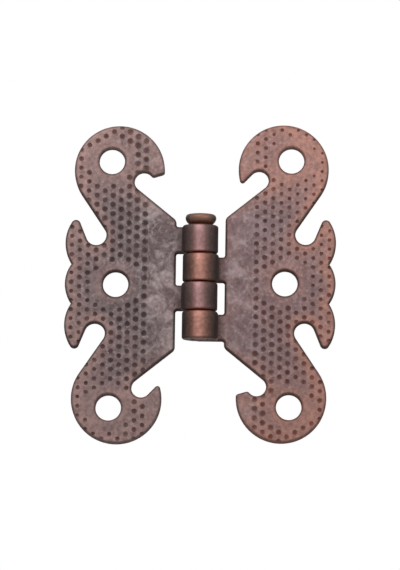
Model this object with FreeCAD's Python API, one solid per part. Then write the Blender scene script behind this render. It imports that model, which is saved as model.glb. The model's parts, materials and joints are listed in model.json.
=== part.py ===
"""Butterfly cabinet hinge: two stamped leaves with punched faces and rolled knuckles, on one headed pin.

Frame, in millimetres: the pin axis is Z, the leaves lie open along X, and their show faces look along -Y.
Both leaves are the same stamping. The left one is modelled, and the right one is it turned half round about Y.
A leaf is drawn in its own plane: u is the distance out from the pin axis, v the height over the leaf's middle.
"""

import FreeCAD
import Part

import math
import os

from FreeCAD import Vector

# Sheet, pin and barrel
SHEET = 1.6                  # thickness of the strip that a leaf is stamped from
PIN_DIAMETER = 3.05
PIN_CLEARANCE = 0.05         # radial gap between pin and knuckle
KNUCKLES_PER_LEAF = 2        # the two leaves take turns along the barrel
KNUCKLE_PITCH = 5.2
KNUCKLE_GAP = 0.16           # running gap between neighbouring knuckles
KNUCKLE_BEVEL = 0.3          # on the outer edges of the rolled strip
ROLL_END_CLIP = 1.1          # off the two corners of the strip's end, at the seam
SEAM_GAP = 0.12              # where the end of the roll comes down on its own tab

# Pin ends
HEAD_DIAMETER = 5.3
HEAD_HEIGHT = 1.9
HEAD_TOP_BEVEL = 0.4
HEAD_UNDER_BEVEL = 0.6
PIN_END_INSET = 0.15         # the plain end stops this far inside the last knuckle

# Inner edge of a leaf, beside the barrel
BARREL_GAP = 1.25            # daylight between the barrel and the straight edge
EDGE_RISE = 1.35             # the straight edge runs this far past the end of the barrel
EDGE_CORNER_ROUND = 1.2
TAB_CORNER_ROUND = 0.4       # inside corners where the tabs leave the straight edge
NOTCH_RELIEF = 0.25          # a tab is cut back this far beside a knuckle of the other leaf
LEAF_DROP = 0.25             # the leaf's middle lies this far below the middle of the barrel

# Outer edge of a leaf: a scallop between two ears
LEAF_REACH = 24.42           # from the pin axis to the furthest edge
SCALLOP_RADIUS = 6.15
EAR_RADIUS = 7.0
EAR_RISE = 7.45              # height of the centre of the ear's outer arc
EAR_TIP_RADIUS = 0.85
EAR_TIP_RISE = 11.65         # height of the ear's tip

# The slot between each ear and its lobe
SLOT_RADIUS = 1.85
SLOT_INSIDE = 5.52           # from the furthest edge in to the centre of the slot's round end
SLOT_RISE = 8.95

# The round lobes at the top and bottom of a leaf
LOBE_RADIUS = 8.15
LOBE_INSIDE = 9.6            # from the furthest edge in to the lobe's centre
LOBE_OVER_SLOT = 11.8        # height of the lobe's centre over that of the slot

# The hook that each lobe turns back towards the barrel
BAY_RADIUS = 1.72            # the round bay under the hook
BAY_INSIDE_LOBE = 4.42       # from the lobe's centre towards the pin
BAY_UNDER_LOBE = 2.0
HOOK_SLOPE = 46.0            # of the hook's underside, in degrees
HOOK_TIP_ROUND = 0.5
BLUNT_UNDERSIDE = 0.5        # length of underside that the upper hook keeps before it is cut short
BLUNT_SLOPE = 17.0           # of that cut, in degrees
BLUNT_ROUND = 0.55

# Screw holes
HOLE_DIAMETER = 4.6
MIDDLE_HOLE_INSIDE = 9.16    # from the furthest edge in
LOBE_HOLE_OUT = 1.4          # from the lobe's centre, away from the pin
LOBE_HOLE_RISE = 1.65        # from the lobe's centre, away from the middle

# Punched field: upright columns of pits, each column half a step from the next
PIT_RADIUS = 0.47
PIT_DEPTH = 0.36
PIT_SIDES = 6
PIT_PITCH = 1.665            # along a column
COLUMN_SPACING = 1.463
FIELD_WIDTH = 14.35          # from the furthest edge in to the first column
FIELD_RISE = 0.33            # a pit of every second column lies this far over the leaf's middle
PLAIN_RING = 4.35            # no pit's centre is nearer than this to the centre of a screw hole
PIT_EDGE_WEB = 0.02          # least metal left between a pit and the outline

# Worked out from the sizes above
BORE_RADIUS = PIN_DIAMETER / 2 + PIN_CLEARANCE
BARREL_RADIUS = BORE_RADIUS + SHEET
BARREL_HALF = KNUCKLES_PER_LEAF * KNUCKLE_PITCH
BARREL_TOP = BARREL_HALF - KNUCKLE_GAP / 2
KNUCKLE_LENGTH = KNUCKLE_PITCH - KNUCKLE_GAP
EDGE_OUT = BARREL_RADIUS + BARREL_GAP
EDGE_HALF = BARREL_HALF + EDGE_RISE
SLOT_OUT = LEAF_REACH - SLOT_INSIDE
LOBE_OUT = LEAF_REACH - LOBE_INSIDE
LOBE_RISE = SLOT_RISE + LOBE_OVER_SLOT
MIDDLE_HOLE_OUT = LEAF_REACH - MIDDLE_HOLE_INSIDE
FIELD_START = LEAF_REACH - FIELD_WIDTH
BACK_Y = BARREL_RADIUS
FRONT_Y = BACK_Y - SHEET
HALF_TURN = 180.0
TOUCH = 1e-4                 # points closer than this are the same point


def place(point, y):
    """A point (u, v) of the left leaf's drawing, at depth y, in the hinge's frame."""
    u, v = point
    return Vector(-u, y, v - LEAF_DROP)


def mirrored(point):
    """The point's image below the leaf's middle."""
    return point[0], -point[1]


def on_circle(centre, radius, degrees):
    angle = math.radians(degrees)
    return centre[0] + radius * math.cos(angle), centre[1] + radius * math.sin(angle)


def bearing(start, end):
    """Direction from start to end, in degrees."""
    return math.degrees(math.atan2(end[1] - start[1], end[0] - start[0]))


def arccos(ratio):
    return math.degrees(math.acos(ratio))


def line_meets_circle(start, degrees, centre, radius):
    """The point of the circle that a line from inside it reaches in this direction."""
    step = on_circle((0, 0), 1, degrees)
    offset = (start[0] - centre[0], start[1] - centre[1])
    along = offset[0] * step[0] + offset[1] * step[1]
    far = math.sqrt(along**2 + radius**2 - math.hypot(*offset) ** 2) - along
    return start[0] + far * step[0], start[1] + far * step[1]


class Stretch:
    """One line or arc of the outline; the corner at its end is rounded if it has a radius."""

    def __init__(self, start, end, middle=None, corner=None):
        self.start = start
        self.end = end
        self.middle = middle
        self.corner = corner

    def edge(self):
        points = [place(point, FRONT_Y) for point in (self.start, self.middle, self.end) if point]
        if self.middle:
            return Part.Arc(*points).toShape()
        return Part.LineSegment(*points).toShape()


def hook_end(lobe, leave_bay, blunt):
    """Corners of the hook after its bay, the last of them on the lobe's circle, each with its radius."""
    underside = HALF_TURN + HOOK_SLOPE
    if not blunt:
        return [(line_meets_circle(leave_bay, underside, lobe, LOBE_RADIUS), HOOK_TIP_ROUND)]
    cut_start = on_circle(leave_bay, BLUNT_UNDERSIDE, underside)
    cut_end = line_meets_circle(cut_start, HALF_TURN - BLUNT_SLOPE, lobe, LOBE_RADIUS)
    return [(cut_start, BLUNT_ROUND), (cut_end, BLUNT_ROUND)]


def half_outline(blunt):
    """Stretches of a leaf's upper half, from the corner of the straight edge round to the scallop."""
    lobe = (LOBE_OUT, LOBE_RISE)
    bay = (LOBE_OUT - BAY_INSIDE_LOBE, LOBE_RISE - BAY_UNDER_LOBE)
    slot = (SLOT_OUT, SLOT_RISE)
    ear = (LEAF_REACH - EAR_RADIUS, EAR_RISE)
    scallop = (LEAF_REACH - SCALLOP_RADIUS, 0.0)
    corner = (EDGE_OUT, EDGE_HALF)

    # The slanted edge runs from the corner to touch the bay, which turns it back along the hook
    enter_bay_at = bearing(bay, corner) + arccos(BAY_RADIUS / math.dist(bay, corner))
    leave_bay_at = 90.0 + HOOK_SLOPE
    enter_bay = on_circle(bay, BAY_RADIUS, enter_bay_at)
    leave_bay = on_circle(bay, BAY_RADIUS, leave_bay_at)
    bay_middle = on_circle(bay, BAY_RADIUS, (enter_bay_at + leave_bay_at) / 2)
    stretches = [Stretch(corner, enter_bay), Stretch(enter_bay, leave_bay, bay_middle)]
    for point, radius in hook_end(lobe, leave_bay, blunt):
        stretches.append(Stretch(stretches[-1].end, point, corner=radius))

    # The lobe goes over the top, and a line touching lobe and slot leads down into the slot
    slant = arccos((LOBE_RADIUS + SLOT_RADIUS) / math.dist(lobe, slot))
    leave_lobe_at = bearing(lobe, slot) + slant
    leave_lobe = on_circle(lobe, LOBE_RADIUS, leave_lobe_at)
    enter_slot = on_circle(slot, SLOT_RADIUS, leave_lobe_at + HALF_TURN)
    lobe_top = on_circle(lobe, LOBE_RADIUS, 90.0)
    stretches.append(Stretch(stretches[-1].end, leave_lobe, lobe_top))
    stretches.append(Stretch(leave_lobe, enter_slot))

    # The ear's tip sits inside the ear's outer arc, and a line touching slot and tip leads up to it
    tip_rise = EAR_TIP_RISE - EAR_TIP_RADIUS - EAR_RISE
    tip_reach = math.sqrt((EAR_RADIUS - EAR_TIP_RADIUS) ** 2 - tip_rise**2)
    tip = (ear[0] + tip_reach, ear[1] + tip_rise)
    leave_slot_at = bearing(slot, tip) - arccos((SLOT_RADIUS + EAR_TIP_RADIUS) / math.dist(slot, tip))
    leave_slot = on_circle(slot, SLOT_RADIUS, leave_slot_at)
    enter_tip = on_circle(tip, EAR_TIP_RADIUS, leave_slot_at + HALF_TURN)
    leave_tip = on_circle(tip, EAR_TIP_RADIUS, bearing(ear, tip))
    slot_bottom = on_circle(slot, SLOT_RADIUS, (leave_lobe_at + leave_slot_at - HALF_TURN) / 2)
    tip_top = on_circle(tip, EAR_TIP_RADIUS, 90.0)
    stretches.append(Stretch(enter_slot, leave_slot, slot_bottom))
    stretches.append(Stretch(leave_slot, enter_tip))
    stretches.append(Stretch(enter_tip, leave_tip, tip_top))

    # The ear's outer arc comes down to the notch where the scallop crosses it
    apart = math.dist(ear, scallop)
    notch_turn = arccos((EAR_RADIUS**2 + apart**2 - SCALLOP_RADIUS**2) / (2 * EAR_RADIUS * apart))
    notch_at = bearing(ear, scallop) + notch_turn
    notch = on_circle(ear, EAR_RADIUS, notch_at)
    ear_middle = on_circle(ear, EAR_RADIUS, (bearing(ear, tip) + notch_at) / 2)
    stretches.append(Stretch(leave_tip, notch, ear_middle))
    return stretches


def knuckle_spans():
    """Lower and upper Z of each knuckle of the left leaf, from the lowest up."""
    tops = [BARREL_TOP - 2 * KNUCKLE_PITCH * turn for turn in range(KNUCKLES_PER_LEAF)]
    return [(top - KNUCKLE_LENGTH, top) for top in reversed(tops)]


def tab_outline(start, end):
    """Stretches up the straight edge from start to end, stepping in to the pin axis along each tab."""
    stretches = []
    here = start
    for low, high in knuckle_spans():
        tab_low = low + NOTCH_RELIEF
        tab_high = high if high == BARREL_TOP else high - NOTCH_RELIEF
        for u, z, radius in (
            (EDGE_OUT, tab_low, TAB_CORNER_ROUND),
            (0.0, tab_low, None),
            (0.0, tab_high, None),
            (EDGE_OUT, tab_high, TAB_CORNER_ROUND),
        ):
            point = (u, z + LEAF_DROP)
            stretches.append(Stretch(here, point, corner=radius))
            here = point
    stretches.append(Stretch(here, end, corner=EDGE_CORNER_ROUND))
    return stretches


def leaf_outline():
    """The whole outline of the left leaf's flat blank, tabs included, as a closed list of stretches."""
    upper = half_outline(blunt=True)
    lower = half_outline(blunt=False)
    notch = upper[-1].end
    stretches = upper + [Stretch(notch, mirrored(notch), (LEAF_REACH, 0.0))]
    for index in range(len(lower) - 1, -1, -1):
        stretch = lower[index]
        middle = stretch.middle and mirrored(stretch.middle)
        corner = lower[index - 1].corner if index else EDGE_CORNER_ROUND
        stretches.append(Stretch(mirrored(stretch.end), mirrored(stretch.start), middle, corner))
    return stretches + tab_outline(stretches[-1].end, upper[0].start)


def edge_through(blank, point):
    """The edge that runs through the blank's thickness at this point of the drawing."""
    ends = (place(point, FRONT_Y), place(point, BACK_Y))
    for edge in blank.Edges:
        corners = [vertex.Point for vertex in edge.Vertexes]
        if all(any(end.isEqual(corner, TOUCH) for corner in corners) for end in ends):
            return edge
    raise ValueError(f"no edge through the blank at {point}")


def rounded_blank(stretches):
    """The flat blank cut from sheet, with its corners rounded."""
    outline = Part.Face(Part.Wire([stretch.edge() for stretch in stretches]))
    blank = outline.extrude(Vector(0, SHEET, 0))
    for radius in sorted({stretch.corner for stretch in stretches if stretch.corner}):
        points = [stretch.end for stretch in stretches if stretch.corner == radius]
        blank = blank.makeFillet(radius, [edge_through(blank, point) for point in points])
    return blank


def hole_centres():
    """Centres of the three screw holes in the leaf's drawing."""
    lobe_hole = (LOBE_OUT + LOBE_HOLE_OUT, LOBE_RISE + LOBE_HOLE_RISE)
    return [lobe_hole, (MIDDLE_HOLE_OUT, 0.0), mirrored(lobe_hole)]


def screw_hole(centre):
    return Part.makeCylinder(HOLE_DIAMETER / 2, SHEET, place(centre, FRONT_Y), Vector(0, 1, 0))


def pit_centres(stretches):
    """Points of the punched field that lie on the leaf and clear of the plain rings round the holes."""
    outline = Part.Wire([stretch.edge() for stretch in stretches])
    leaf_face = Part.Face(outline)
    columns = int(FIELD_WIDTH / COLUMN_SPACING) + 1
    rows = int((LOBE_RISE + LOBE_RADIUS) / PIT_PITCH) + 1
    centres = []
    for column in range(columns):
        half_step = 0.5 if column % 2 == 0 else 0.0
        for row in range(-rows, rows + 1):
            rise = FIELD_RISE + (row + half_step) * PIT_PITCH
            centre = (FIELD_START + column * COLUMN_SPACING, rise)
            spot = place(centre, FRONT_Y)
            if min(math.dist(centre, hole) for hole in hole_centres()) < PLAIN_RING:
                continue
            if not leaf_face.isInside(spot, TOUCH, False):
                continue
            if outline.distToShape(Part.Vertex(spot))[0] >= PIT_RADIUS + PIT_EDGE_WEB:
                centres.append(centre)
    return centres


def pit_punch(centre):
    """The pointed punch that leaves one pit, standing proud of the show face by the pit's own depth."""
    apex = place(centre, FRONT_Y + PIT_DEPTH)
    corners = []
    for side in range(PIT_SIDES):
        corner = on_circle(centre, 2 * PIT_RADIUS, 360.0 * (side + 0.5) / PIT_SIDES)
        corners.append(place(corner, FRONT_Y - PIT_DEPTH))
    faces = [Part.Face(Part.makePolygon(corners + corners[:1]))]
    for start, end in zip(corners, corners[1:] + corners[:1]):
        faces.append(Part.Face(Part.makePolygon([start, end, apex, start])))
    return Part.Solid(Part.makeShell(faces))


def knuckle(low, high):
    """A tab's end rolled round the pin, from the pin axis at the back round to the seam on the tab."""
    seam_at = HALF_TURN - math.degrees(math.asin((FRONT_Y - SEAM_GAP) / BARREL_RADIUS))
    sweep_middle = (90.0 + seam_at - 2 * HALF_TURN) / 2

    def at(radius, degrees):
        x, y = on_circle((0, 0), radius, degrees)
        return Vector(x, y, low)

    outer = Part.Arc(*[at(BARREL_RADIUS, angle) for angle in (90.0, sweep_middle, seam_at)])
    inner = Part.Arc(*[at(BORE_RADIUS, angle) for angle in (seam_at, sweep_middle, 90.0)])
    seam = Part.LineSegment(at(BARREL_RADIUS, seam_at), at(BORE_RADIUS, seam_at))
    start = Part.LineSegment(at(BORE_RADIUS, 90.0), at(BARREL_RADIUS, 90.0))
    profile = Part.Wire([curve.toShape() for curve in (outer, seam, inner, start)])
    roll = Part.Face(profile).extrude(Vector(0, 0, high - low))
    seam_middle = on_circle((0, 0), (BORE_RADIUS + BARREL_RADIUS) / 2, seam_at)
    end_corners = [edge for edge in roll.Edges if lies_over(edge, seam_middle)]
    roll = roll.makeChamfer(ROLL_END_CLIP, end_corners)
    rims = [edge for edge in roll.Edges if is_outer_arc(edge)]
    return roll.makeChamfer(KNUCKLE_BEVEL, rims)


def lies_over(edge, point):
    """True for an edge whose middle has this X and Y."""
    middle = edge.CenterOfMass
    return math.dist((middle.x, middle.y), point) < TOUCH


def is_outer_arc(edge):
    """True for the arc along an end of a knuckle, on the outside of the roll."""
    return isinstance(edge.Curve, Part.Circle) and abs(edge.Curve.Radius - BARREL_RADIUS) < TOUCH


def left_leaf():
    stretches = leaf_outline()
    leaf = rounded_blank(stretches)
    leaf = leaf.fuse([knuckle(low, high) for low, high in knuckle_spans()])
    leaf = leaf.cut([screw_hole(centre) for centre in hole_centres()])
    leaf = leaf.cut([pit_punch(centre) for centre in pit_centres(stretches)])
    return leaf.removeSplitter()


def right_leaf(leaf):
    """The same stamping turned half round, so that its knuckles fall between the left leaf's."""
    turned = leaf.copy()
    turned.rotate(Vector(0, 0, 0), Vector(0, 1, 0), HALF_TURN)
    return turned


def hinge_pin():
    """A plain pin with a button head that sits on the top knuckle."""
    shank = PIN_DIAMETER / 2
    head = HEAD_DIAMETER / 2
    end_z = -BARREL_TOP + PIN_END_INSET
    head_top = BARREL_TOP + HEAD_HEIGHT
    profile = [
        Vector(0, 0, end_z),
        Vector(shank, 0, end_z),
        Vector(shank, 0, BARREL_TOP),
        Vector(head - HEAD_UNDER_BEVEL, 0, BARREL_TOP),
        Vector(head, 0, BARREL_TOP + HEAD_UNDER_BEVEL),
        Vector(head, 0, head_top - HEAD_TOP_BEVEL),
        Vector(head - HEAD_TOP_BEVEL, 0, head_top),
        Vector(0, 0, head_top),
    ]
    section = Part.Face(Part.makePolygon(profile + profile[:1]))
    return section.revolve(Vector(0, 0, 0), Vector(0, 0, 1), 2 * HALF_TURN)


def as_solid(shape):
    """The one solid that a piece is made of."""
    solids = shape.Solids
    if len(solids) != 1 or not solids[0].isValid():
        raise ValueError(f"expected one sound solid, found {len(solids)}")
    return solids[0]


os.makedirs("parts", exist_ok=True)
leaf = as_solid(left_leaf())
pieces = {
    "left_leaf": leaf,
    "right_leaf": right_leaf(leaf),
    "hinge_pin": as_solid(hinge_pin()),
}
for name, piece in pieces.items():
    piece.exportStep(f"parts/{name}.step")
    print(name, f"{piece.Volume:.2f} mm3,", len(piece.Faces), "faces")
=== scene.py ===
import json
import math

import bmesh
import bpy
from mathutils import Matrix, Vector
from mathutils.geometry import delaunay_2d_cdt
from mathutils.kdtree import KDTree


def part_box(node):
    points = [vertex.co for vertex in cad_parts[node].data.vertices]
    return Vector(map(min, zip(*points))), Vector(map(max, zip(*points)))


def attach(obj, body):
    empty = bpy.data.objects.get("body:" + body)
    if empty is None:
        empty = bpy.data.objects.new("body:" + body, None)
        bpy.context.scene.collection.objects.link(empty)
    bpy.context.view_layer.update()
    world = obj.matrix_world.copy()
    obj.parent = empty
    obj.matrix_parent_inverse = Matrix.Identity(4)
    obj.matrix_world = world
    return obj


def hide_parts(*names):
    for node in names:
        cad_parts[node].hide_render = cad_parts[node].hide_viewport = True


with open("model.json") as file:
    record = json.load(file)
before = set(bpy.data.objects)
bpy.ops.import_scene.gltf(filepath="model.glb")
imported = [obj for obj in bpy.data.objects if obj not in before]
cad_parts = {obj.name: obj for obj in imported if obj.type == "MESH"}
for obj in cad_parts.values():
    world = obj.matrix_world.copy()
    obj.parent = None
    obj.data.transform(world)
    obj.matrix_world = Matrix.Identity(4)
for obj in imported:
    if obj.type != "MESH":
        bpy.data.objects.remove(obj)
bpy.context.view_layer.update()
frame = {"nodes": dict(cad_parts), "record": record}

# Leaf blank
# The left leaf starts as a butterfly blank stamped from steel strip, with three screw holes and two tabs.
# The die draws the edges of the show face down into a soft rim and leaves a small broken edge at the back.

MM = 0.001                   # the pieces are built in millimetres and made metres at the end
leaf_node = frame["nodes"]["left_leaf"]
mounts = {mount["name"]: mount for mount in frame["record"]["mounts"]}
middle_screw = mounts["left_middle_screw"]
screw_pair = mounts["left_screw_pair"]
sheet = middle_screw["dims"]["length_mm"]
hole_radius = middle_screw["dims"]["r_mm"]
leaf_middle = middle_screw["pos_m"][2] / MM
back_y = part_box("left_leaf")[1].y / MM
front_y = back_y - sheet
pair_reach = screw_pair["dims"]["spacing_y_mm"] / 2
hole_centres = [Vector((middle_screw["pos_m"][0] / MM, leaf_middle))]
for side in (1, -1):
    hole_centres.append(Vector((screw_pair["pos_m"][0] / MM, leaf_middle + side * pair_reach)))

RIM_RUN = 0.5                # how far the soft rim reaches in from the edge
RIM_DROP = 0.34              # and how far it falls
RIM_STEPS = 4
RIM_FLAT = 0.1               # a narrow flat loop keeps the rim's shading off the face
CORNER_ROOM = 0.75           # share of an outside corner's radius that the rim may take up
CORNER_BLEND = 3             # points over which a tight corner's smaller rim grows full again
BACK_BREAK = 0.06
EDGE_STEP = 0.5              # longest straight step along the outline
FACE_STEP = 0.9              # spacing of the points across the show face
TAB_LAP = 0.3                # the tabs run on this far into the rolled metal
SAME_SPOT = 3                # decimals of a millimetre at which two corners are one
SLACK = 0.001                # millimetres, or radians of a turn, that count as none
INSIDE_LOOPS = 1             # what the triangulation keeps
WELD = 1e-6


def flat_back_loops(mesh):
    """Closed loops of points (x, z) round the flat back of the solid, each with the metal on its left."""
    border = set()
    for face in mesh.polygons:
        corners = [mesh.vertices[index].co / MM for index in face.vertices]
        if min(corner.y for corner in corners) < back_y - SLACK:
            continue
        spots = [(round(corner.x, SAME_SPOT), round(corner.z, SAME_SPOT)) for corner in corners]
        for start, end in zip(spots, spots[1:] + spots[:1]):
            if (start, end) in border:
                border.remove((start, end))
            else:
                border.add((end, start))
    onward = dict(border)
    loops = []
    while onward:
        spot = next(iter(onward))
        loop = []
        while spot in onward:
            loop.append(Vector(spot))
            spot = onward.pop(spot)
        loops.append(loop)
    return sorted(loops, key=len, reverse=True)


def neighbours(loop):
    """Each item of a closed loop, between the item before it and the one after it."""
    return zip(loop[-1:] + loop[:-1], loop, loop[1:] + loop[:1])


def divided(loop):
    """The loop without points inside its straight runs, then with those runs divided into even steps."""
    bends = []
    for before, here, after in neighbours(loop):
        if abs((here - before).normalized().cross((after - here).normalized())) > SLACK:
            bends.append(here)
    points = []
    for here, after in zip(bends, bends[1:] + bends[:1]):
        steps = max(1, math.ceil((after - here).length / EDGE_STEP))
        points += [here.lerp(after, step / steps) for step in range(steps)]
    return points


def corner_shares(loop):
    """How much of the full rim each point has room for: less at tight outside corners and beside them."""
    shares = []
    for before, here, after in neighbours(loop):
        turn = (here - before).angle_signed(after - here)
        radius = ((here - before).length + (after - here).length) / 2 / max(-turn, SLACK)
        shares.append(min(1.0, CORNER_ROOM * radius / (RIM_RUN + RIM_FLAT)))
    for _ in range(CORNER_BLEND):
        shares = [min(here, (before + here + after) / 3) for before, here, after in neighbours(shares)]
    return shares


def inset(loop, distance, shares):
    """The loop moved sideways into the metal, by its share of the distance at each point."""
    moved = []
    for (before, here, after), share in zip(neighbours(loop), shares):
        one = (here - before).normalized()
        two = (after - here).normalized()
        side = Vector((-one.y - two.y, one.x + two.x))
        moved.append(here + side * (2 * distance * share / side.length_squared))
    return moved


def join_rings(bm, rings):
    """Faces between each closed ring of vertices and the next one."""
    for one, two in zip(rings, rings[1:]):
        for index in range(len(one)):
            bm.faces.new([one[index - 1], one[index], two[index], two[index - 1]])


def spread_points(edge_spots):
    """Points in a triangular pattern across the face that has these points on its edges, clear of them."""
    tree = KDTree(len(edge_spots))
    for index, spot in enumerate(edge_spots):
        tree.insert((spot.x, 0, spot.y), index)
    tree.balance()
    low = Vector((min(spot.x for spot in edge_spots), min(spot.y for spot in edge_spots)))
    high = Vector((max(spot.x for spot in edge_spots), max(spot.y for spot in edge_spots)))
    points = []
    row_step = FACE_STEP * math.sin(math.radians(60))
    for row in range(int((high.y - low.y) / row_step)):
        for column in range(int((high.x - low.x) / FACE_STEP)):
            x = low.x + (column + 0.5 * (row % 2)) * FACE_STEP
            z = low.y + row * row_step
            if tree.find((x, 0, z))[2] > FACE_STEP / 2:
                points.append((x, z))
    return points


def fill_between(bm, loops, loose_points, depth, hole_clear):
    """Triangles across a flat face between closed loops of vertices, with loose points spread inside it."""
    verts = [vert for loop in loops for vert in loop]
    verts += [bm.verts.new((x, depth, z)) for x, z in loose_points]
    edges = []
    for loop in loops:
        first = len(edges)
        edges += [(first + step, first + (step + 1) % len(loop)) for step in range(len(loop))]
    flat = [Vector((vert.co.x, vert.co.z)) for vert in verts]
    spots, _, faces, sources, _, _ = delaunay_2d_cdt(flat, edges, [], INSIDE_LOOPS, WELD)
    for face in faces:
        middle = sum((spots[index] for index in face), Vector((0, 0))) / len(face)
        if min((middle - centre).length for centre in hole_centres) > hole_clear:
            bm.faces.new([verts[sources[index][0]] for index in face])


def stamped_blank(loops):
    """The closed shell of the flat blank, with its soft front rim and broken back edge."""
    bm = bmesh.new()
    profile = [(BACK_BREAK, back_y), (0.0, back_y - BACK_BREAK)]
    for step in range(RIM_STEPS + 1):
        turn = math.pi / 2 * step / RIM_STEPS
        profile.append((RIM_RUN * (1 - math.cos(turn)), front_y + RIM_DROP * (1 - math.sin(turn))))
    profile.append((RIM_RUN + RIM_FLAT, front_y))
    front, back, front_spots = [], [], []
    for loop in loops:
        rings = []
        shares = corner_shares(loop)
        for run, depth in profile:
            spots = inset(loop, run, shares)
            rings.append([bm.verts.new((spot.x, depth, spot.y)) for spot in spots])
        front_spots += spots
        join_rings(bm, rings)
        back.append(rings[0])
        front.append(rings[-1])
    fill_between(bm, front, spread_points(front_spots), front_y, hole_radius + RIM_RUN + RIM_FLAT)
    fill_between(bm, back, [], back_y, hole_radius + BACK_BREAK)
    stray = [vert for vert in bm.verts if not vert.link_faces]
    bmesh.ops.delete(bm, geom=stray, context="VERTS")
    bmesh.ops.recalc_face_normals(bm, faces=bm.faces[:])
    return bm


def made_object(name, bm):
    """An object at the origin with this mesh, which is used up."""
    mesh = bpy.data.meshes.new(name)
    bm.to_mesh(mesh)
    bm.free()
    piece = bpy.data.objects.new(name, mesh)
    bpy.context.scene.collection.objects.link(piece)
    return piece


leaf_loops = flat_back_loops(leaf_node.data)
for point in leaf_loops[0]:
    if abs(point.x) <= SLACK:    # the ends of the tabs lie on the pin axis
        point.x = TAB_LAP
leaf_loops = [divided(loop) for loop in leaf_loops]
blank = made_object("leaf_blank", stamped_blank(leaf_loops))

outline_bm = bmesh.new()
corners = [outline_bm.verts.new((point.x, front_y, point.y)) for point in leaf_loops[0]]
for index in range(len(corners)):
    outline_bm.edges.new((corners[index - 1], corners[index]))
outline = made_object("leaf_outline", outline_bm)

# Rolled knuckles
# The end of each tab is rolled forwards round the pin, until it comes down on its own tab at the seam.
# Rolling rounds the outer corners of the strip, and the two corners of its end are clipped.

barrel_radius = back_y
bore_radius = front_y
OUTER_ROUND = 0.4
INNER_ROUND = 0.1
ROUND_STEPS = 4
ROLL_STEP = 5.0              # degrees
SEAM_GAP = 0.12
END_CLIP = 1.1               # off the height of each corner of the strip's end
CLIP_RUN = 2.4               # and this far along the strip
CLIP_STEPS = 6
SEAM_SPRING = 0.3            # the end of the roll stands off by this much
SPRING_TURN = 120.0          # over the last so many degrees
EASE = 1.5                   # power by which clip and spring begin gently
BACK_TURN = 90.0             # the tab lies at this bearing from the pin axis
SIDE_TURN = 270.0            # from there the long way round to the tab's own side


def strip_section(half):
    """Points (height over the bore, place along the pin) round the strip, with rounded corners."""
    points = []
    for rise, along, radius, start in (
        (sheet - OUTER_ROUND, OUTER_ROUND - half, OUTER_ROUND, -90),
        (sheet - OUTER_ROUND, half - OUTER_ROUND, OUTER_ROUND, 0),
        (INNER_ROUND, half - INNER_ROUND, INNER_ROUND, 90),
        (INNER_ROUND, INNER_ROUND - half, INNER_ROUND, 180),
    ):
        for step in range(ROUND_STEPS + 1):
            turn = math.radians(start + 90 * step / ROUND_STEPS)
            points.append((rise + radius * math.cos(turn), along + radius * math.sin(turn)))
    return points


def roll_knuckle(bm, low, high):
    """Sweeps the strip round the pin, from the tab at the back round the far side to the seam."""
    seam = math.degrees(math.asin((front_y - SEAM_GAP) / (barrel_radius + SEAM_SPRING)))
    sweep = SIDE_TURN + seam
    clip_turn = math.degrees(CLIP_RUN / barrel_radius)
    turns = [ROLL_STEP * step for step in range(int((sweep - clip_turn) / ROLL_STEP) + 1)]
    turns += [sweep - clip_turn + clip_turn * step / CLIP_STEPS for step in range(CLIP_STEPS + 1)]
    rings = []
    for turn in turns:
        angle = math.radians(BACK_TURN - turn)
        clip = END_CLIP * max(0.0, (turn - sweep + clip_turn) / clip_turn) ** EASE
        lift = bore_radius + SEAM_SPRING * max(0.0, (turn - sweep + SPRING_TURN) / SPRING_TURN) ** EASE
        ring = []
        for rise, along in strip_section((high - low) / 2 - clip):
            reach = lift + rise
            spot = (reach * math.cos(angle), reach * math.sin(angle), (low + high) / 2 + along)
            ring.append(bm.verts.new(spot))
        rings.append(ring)
    join_rings(bm, rings)
    bm.faces.new(rings[0])
    bm.faces.new(rings[-1])


far_side = []
for face in leaf_node.data.polygons:
    corners = [leaf_node.data.vertices[index].co / MM for index in face.vertices]
    if min(corner.x for corner in corners) > bore_radius:
        far_side.append((min(corner.z for corner in corners), max(corner.z for corner in corners)))
knuckle_spans = []
for low, high in sorted(far_side):
    if knuckle_spans and low <= knuckle_spans[-1][1]:
        knuckle_spans[-1][1] = max(high, knuckle_spans[-1][1])
    else:
        knuckle_spans.append([low, high])

rolls_bm = bmesh.new()
for low, high in knuckle_spans:
    roll_knuckle(rolls_bm, low, high)
bmesh.ops.recalc_face_normals(rolls_bm, faces=rolls_bm.faces[:])
rolls = made_object("leaf_rolls", rolls_bm)

# Punched field
# A round-nosed punch marks the steel of the show face in upright columns, each half a step from the next.
# The rings round the screw holes and the ground beside the barrel stay plain.
# Marks at the edge are cut short by the outline.

PUNCH_SIDES = 12
PUNCH_PROFILE = ((1.3, -0.35), (1.0, 0.08), (0.8, 0.5), (0.42, 0.88))   # radius and depth, as shares
LEFT_STRIKE = {"Pit Radius": 0.58, "Pit Depth": 0.3, "Lower Share": 0.8, "Seed": 7}
RIGHT_STRIKE = {"Pit Radius": 0.54, "Pit Depth": 0.27, "Lower Share": 0.68, "Seed": 8}
WIDTH_SPREAD = (0.9, 1.08)   # blows differ by these shares of the radius
DEPTH_SPREAD = (0.8, 1.05)   # and of the depth
OUTER_SHARE = 0.72           # size of the marks in the last column, as a share of those in the first
LOWER_RANGE = (-24.0, 8.0)   # heights between which the marks grow from their lower share to full size
PIT_PITCH = 1.665
COLUMN_SPACING = 1.463
FIELD_START = 10.07          # from the pin axis to the first column
FIELD_RISE = 0.33            # a mark of every second column lies this far over the leaf's middle
PLAIN_RING = 4.35            # from a screw hole's centre to the nearest mark
EDGE_SLACK = 0.1             # a mark is made where the face lies no further than this under the punch
FIELD_COLUMNS = 10
FIELD_HALF_ROWS = 18

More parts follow.
